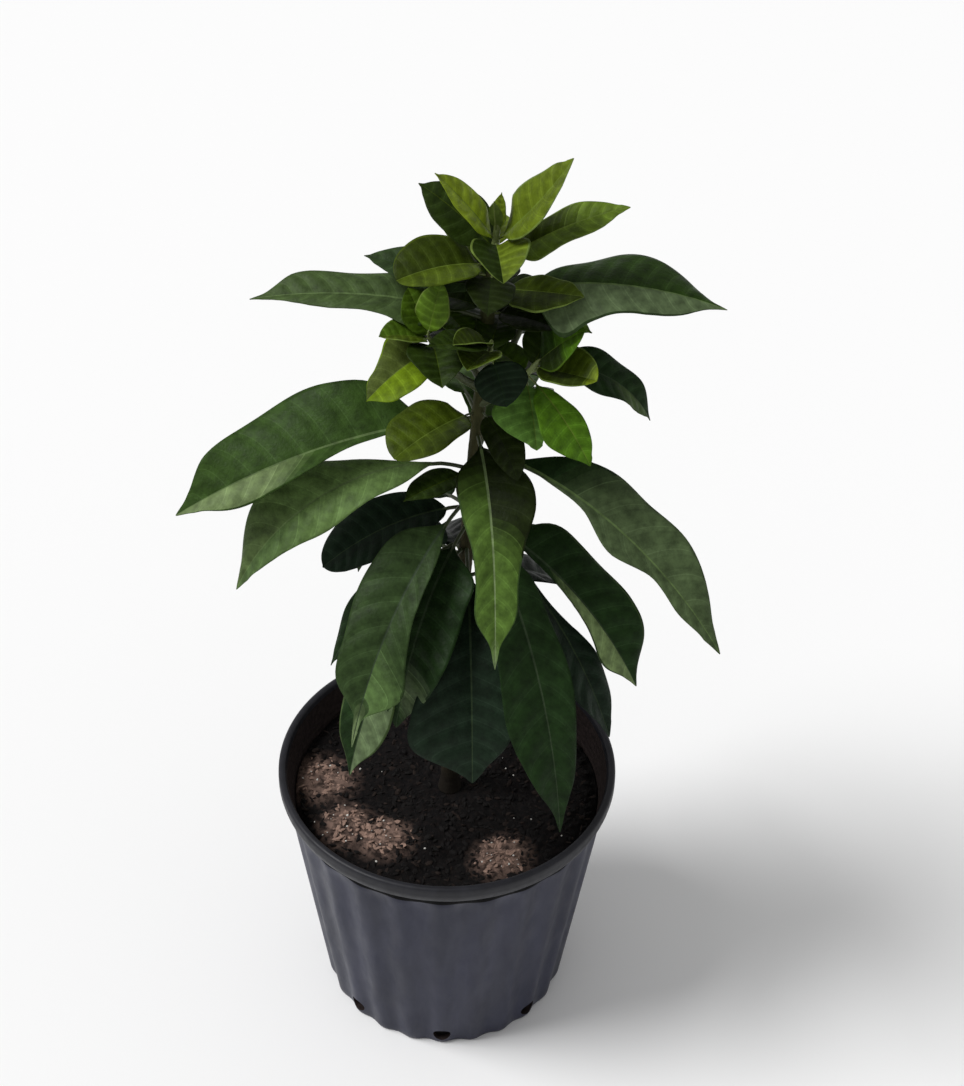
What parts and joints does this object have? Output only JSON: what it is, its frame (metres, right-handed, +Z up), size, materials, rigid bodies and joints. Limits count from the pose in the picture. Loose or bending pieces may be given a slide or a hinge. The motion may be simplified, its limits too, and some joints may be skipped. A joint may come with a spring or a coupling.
{
  "type": "potted avocado tree",
  "caption": "Young avocado tree with a slender leaning trunk, short side shoots and tiers of long drooping leaves, in a round fluted nursery pot of dark plastic filled with potting mix.",
  "frame": {"origin": "centre of the pot's flat underside", "axes": "+Z up along the pot's axis, -Y towards the side with the long hanging leaves, +X to the right seen from there; the trunk leans slightly towards +X"},
  "size_m": [0.403, 0.3509, 0.817],
  "materials": {
    "pot_plastic": "semi-matte moulded plastic, near black with a blue tinge",
    "potting_mix": "dark, damp bark and peat mix with paler dry patches and white grains",
    "bark": "grey-brown young bark with fine ridges and leaf scars",
    "green_wood": "smooth green new wood",
    "old_leaf": "leathery dark green leaf, satin",
    "mid_leaf": "leathery mid green leaf with paler veins, satin",
    "young_leaf": "soft yellow-green young leaf, satin"
  },
  "bodies": {
    "root": {"pot": "pot_plastic", "potting_mix": "potting_mix", "trunk": "bark", "left_shoot": "green_wood", "right_shoot": "green_wood", "front_shoot": "green_wood", "back_left_shoot": "green_wood", "back_right_shoot": "green_wood", "lower_leaves": "old_leaf", "lowest_leaves": "old_leaf", "middle_leaves": "mid_leaf", "upper_leaves": "mid_leaf", "neck_leaves": "young_leaf", "top_leaves": "young_leaf", "left_tuft": "young_leaf", "right_tuft": "young_leaf", "front_tuft": "young_leaf", "back_left_tuft": "young_leaf", "back_right_tuft": "young_leaf"}
  },
  "joints": []
}
